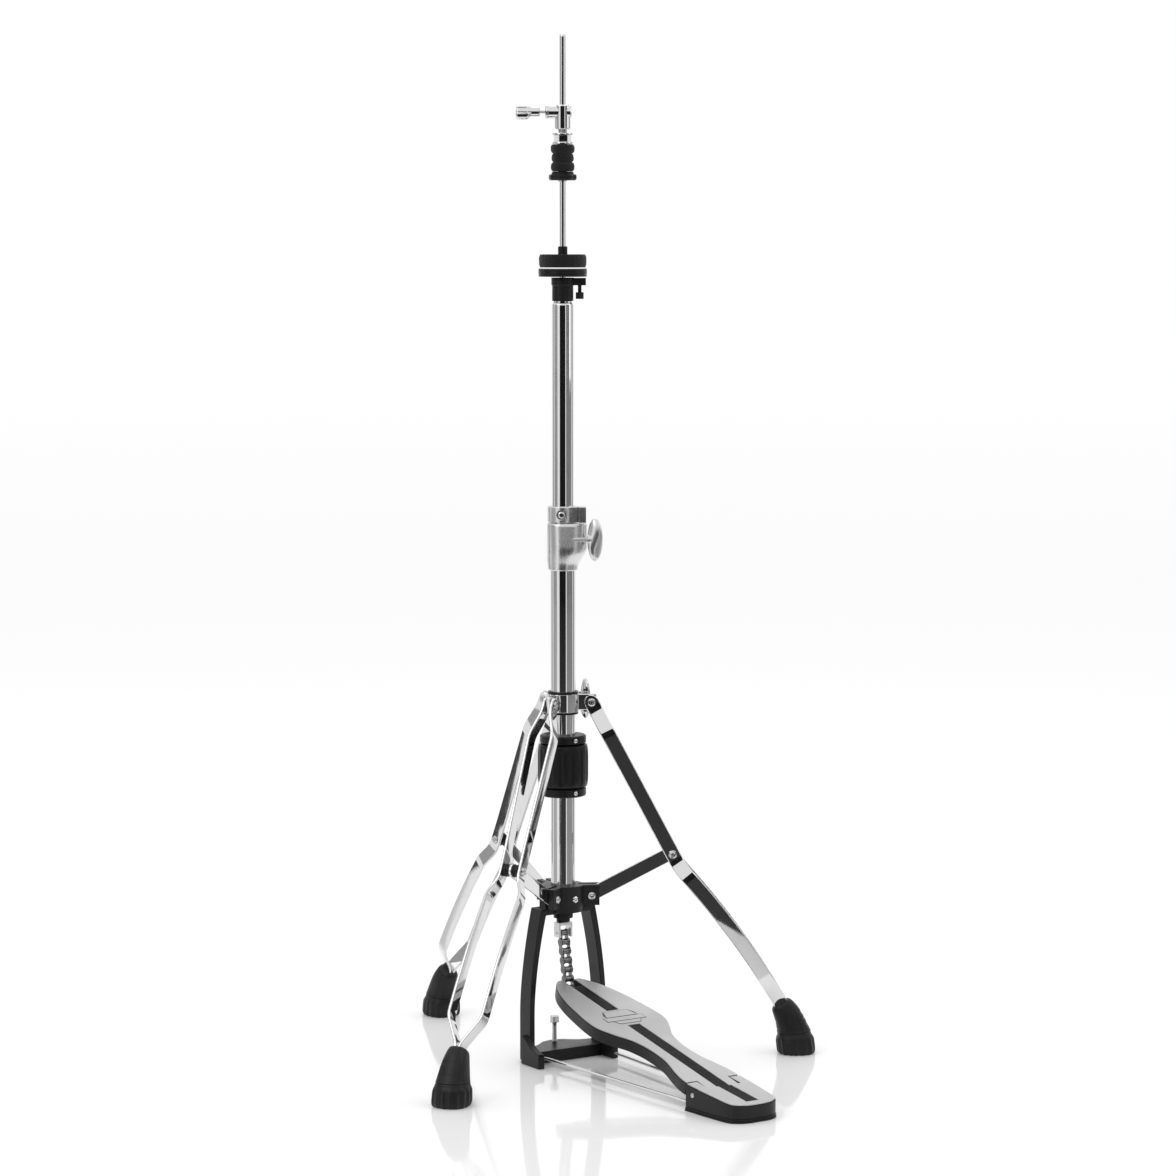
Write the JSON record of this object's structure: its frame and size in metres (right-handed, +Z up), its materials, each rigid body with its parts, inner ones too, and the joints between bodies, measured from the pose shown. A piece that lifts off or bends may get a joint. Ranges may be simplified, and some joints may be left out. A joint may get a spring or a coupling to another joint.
{
  "type": "hi-hat stand",
  "caption": "Hi-hat cymbal stand: a footboard and chain pull a rod down through a height-adjustable chromed tube on a folding tripod.",
  "frame": {"origin": "on the tube's axis at the floor, on the underside of the pedal frame's base plate", "axes": "+Z up along the tube; -Y towards the heel of the pedal, where the player sits; +X to the player's right, facing the stand"},
  "size_m": [0.4614, 0.6054, 1.0467],
  "materials": {
    "chrome": "polished chrome plate on tube, bar and small hardware",
    "cast_chrome": "chrome plate over a slightly soft die casting",
    "steel": "plain bright steel, slightly worn",
    "black_metal": "fine satin black powder coat",
    "black_plastic": "moulded black nylon, low sheen",
    "rubber": "matt black moulded rubber",
    "felt": "dense black felt",
    "satin_aluminium": "grey satin plate with a fine pebbled grain"
  },
  "bodies": {
    "stand": {"lower_tube": "chrome", "rod_bush": "black_plastic", "leg_hub": "black_metal", "hub_bolt_right": "steel", "hub_bolt_rear": "steel", "hub_bolt_left": "steel", "pedal_frame": "black_metal", "radius_rod_right": "chrome", "radius_rod_left": "chrome", "heel_base": "black_metal", "heel_plate": "satin_aluminium", "heel_pad": "rubber", "hinge_pin": "steel", "drum_top_ring": "black_plastic", "drum_bottom_ring": "black_plastic", "height_clamp": "cast_chrome", "return_spring": "steel"},
    "footboard": {"footboard": "black_metal", "footboard_plate": "satin_aluminium", "chain_pin": "steel"},
    "pull_rod": {"upper_rod": "chrome", "lower_rod": "steel", "clevis": "chrome"},
    "chain": {"chain": "steel"},
    "drum": {"drum_grip": "black_plastic"},
    "adjuster": {"spring_adjuster": "steel"},
    "height_bolt": {"height_wing_bolt": "cast_chrome"},
    "upper_tube": {"upper_tube": "chrome", "seat_body": "black_plastic"},
    "memory_lock": {"memory_lock": "cast_chrome"},
    "seat": {"seat_cup": "black_plastic", "seat_felt": "felt"},
    "tilter": {"tilter_screw": "black_metal"},
    "clutch": {"clutch_body": "chrome", "clutch_top_nut": "chrome", "clutch_felts": "felt"},
    "clutch_nut": {"clutch_bottom_nut": "black_plastic"},
    "clutch_screw": {"clutch_screw": "chrome"},
    "leg_collar": {"leg_collar": "chrome", "collar_bush": "black_plastic", "leg_pin_right": "steel", "leg_pin_rear": "steel", "leg_pin_left": "steel"},
    "collar_screw": {"collar_wing_screw": "chrome"},
    "spur": {"spur": "steel"},
    "leg_right": {"leg_bar_right_a": "chrome", "leg_bar_right_b": "chrome", "foot_right": "rubber", "brace_pin_right": "black_plastic"},
    "brace_right": {"brace_right": "chrome"},
    "leg_rear": {"leg_bar_rear_a": "chrome", "leg_bar_rear_b": "chrome", "foot_rear": "rubber", "brace_pin_rear": "black_plastic"},
    "brace_rear": {"brace_rear": "chrome"},
    "leg_left": {"leg_bar_left_a": "chrome", "leg_bar_left_b": "chrome", "foot_left": "rubber", "brace_pin_left": "black_plastic"},
    "brace_left": {"brace_left": "chrome"}
  },
  "joints": [
    {"name": "pedal_hinge", "type": "hinge", "parent": "stand", "child": "footboard", "pos_m": [0, -0.276, 0.017], "axis": [1, 0, 0], "range_deg": [-7, 0]},
    {"name": "rod_pull", "type": "slide", "parent": "stand", "child": "pull_rod", "axis": [0, 0, 1], "range_m": [-0.0325, 0], "deforming": ["return_spring"]},
    {"name": "chain_swing", "type": "hinge", "parent": "pull_rod", "child": "chain", "pos_m": [0, 0, 0.1292], "axis": [1, 0, 0], "range_deg": [-9, 9]},
    {"name": "drum_turn", "type": "hinge", "parent": "stand", "child": "drum", "pos_m": [0, 0, 0.3], "axis": [0, 0, 1], "range_deg": [-360, 360]},
    {"name": "adjuster_rise", "type": "slide", "parent": "stand", "child": "adjuster", "axis": [0, 0, 1], "range_m": [-0.0081, 0.0081]},
    {"name": "height_bolt_turn", "type": "hinge", "parent": "stand", "child": "height_bolt", "pos_m": [0.01688, -0.02909, 0.5366], "axis": [0.8387, -0.5446, 0], "range_deg": [-180, 180]},
    {"name": "height_slide", "type": "slide", "parent": "stand", "child": "upper_tube", "axis": [0, 0, 1], "range_m": [0, 0.06]},
    {"name": "memory_lock_slide", "type": "slide", "parent": "upper_tube", "child": "memory_lock", "axis": [0, 0, 1], "range_m": [0, 0.1]},
    {"name": "tilter_turn", "type": "hinge", "parent": "upper_tube", "child": "tilter", "pos_m": [0.01443, -0.00937, 0.785], "axis": [0, 0, 1], "range_deg": [-360, 360]},
    {"name": "seat_tilt", "type": "hinge", "parent": "upper_tube", "child": "seat", "pos_m": [0, 0, 0.812], "axis": [0.5446, 0.8387, 0], "range_deg": [-1.85, 1.85]},
    {"name": "clutch_slide", "type": "slide", "parent": "pull_rod", "child": "clutch", "axis": [0, 0, 1], "range_m": [-0.025, 0.065]},
    {"name": "clutch_screw_turn", "type": "hinge", "parent": "clutch", "child": "clutch_screw", "pos_m": [0, 0, 0.9686], "axis": [-0.8387, 0.5446, 0], "range_deg": [-360, 360]},
    {"name": "clutch_nut_turn", "type": "hinge", "parent": "clutch", "child": "clutch_nut", "pos_m": [0, 0, 0.904], "axis": [0, 0, 1], "range_deg": [-360, 360]},
    {"name": "leg_fold", "type": "slide", "parent": "stand", "child": "leg_collar", "axis": [0, 0, 1], "range_m": [0, 0.056]},
    {"name": "collar_screw_turn", "type": "hinge", "parent": "leg_collar", "child": "collar_screw", "pos_m": [0.03055, 0.00609, 0.36989], "axis": [0.5, -0.866, 0], "range_deg": [-25, 25]},
    {"name": "spur_turn", "type": "hinge", "parent": "stand", "child": "spur", "pos_m": [0, 0.0165, 0.02], "axis": [0, 0, 1], "range_deg": [-360, 360]},
    {"name": "leg_right_pivot", "type": "hinge", "parent": "leg_collar", "child": "leg_right", "pos_m": [0.02511, -0.0145, 0.3687], "axis": [0.5, 0.866, 0], "range_deg": [-0.2, 14.19]},
    {"name": "brace_right_pivot", "type": "hinge", "parent": "leg_right", "child": "brace_right", "pos_m": [0.09713, -0.05608, 0.21132], "axis": [0.5, 0.866, 0], "range_deg": [-50.03, 0.3]},
    {"name": "leg_rear_pivot", "type": "hinge", "parent": "leg_collar", "child": "leg_rear", "pos_m": [0, 0.029, 0.3687], "axis": [-1, 0, 0], "range_deg": [-0.2, 14.19]},
    {"name": "brace_rear_pivot", "type": "hinge", "parent": "leg_rear", "child": "brace_rear", "pos_m": [0, 0.11215, 0.21132], "axis": [-1, 0, 0], "range_deg": [-50.03, 0.3]},
    {"name": "leg_left_pivot", "type": "hinge", "parent": "leg_collar", "child": "leg_left", "pos_m": [-0.02511, -0.0145, 0.3687], "axis": [0.5, -0.866, 0], "range_deg": [-0.2, 14.19]},
    {"name": "brace_left_pivot", "type": "hinge", "parent": "leg_left", "child": "brace_left", "pos_m": [-0.09713, -0.05608, 0.21132], "axis": [0.5, -0.866, 0], "range_deg": [-50.03, 0.3]}
  ],
  "couplings": [
    {"joint": "rod_pull", "follows": "pedal_hinge", "m_per_rad": 0.26259},
    {"joint": "chain_swing", "follows": "pedal_hinge", "ratio": -0.70167},
    {"joint": "adjuster_rise", "follows": "drum_turn", "m_per_rad": 0.001273},
    {"joint": "tilter_turn", "follows": "seat_tilt", "ratio": 192.3},
    {"joint": "leg_right_pivot", "follows": "leg_fold", "rad_per_m": 4.359},
    {"joint": "brace_right_pivot", "follows": "leg_fold", "rad_per_m": -15.5},
    {"joint": "leg_rear_pivot", "follows": "leg_fold", "rad_per_m": 4.359},
    {"joint": "brace_rear_pivot", "follows": "leg_fold", "rad_per_m": -15.5},
    {"joint": "leg_left_pivot", "follows": "leg_fold", "rad_per_m": 4.359},
    {"joint": "brace_left_pivot", "follows": "leg_fold", "rad_per_m": -15.5}
  ]
}
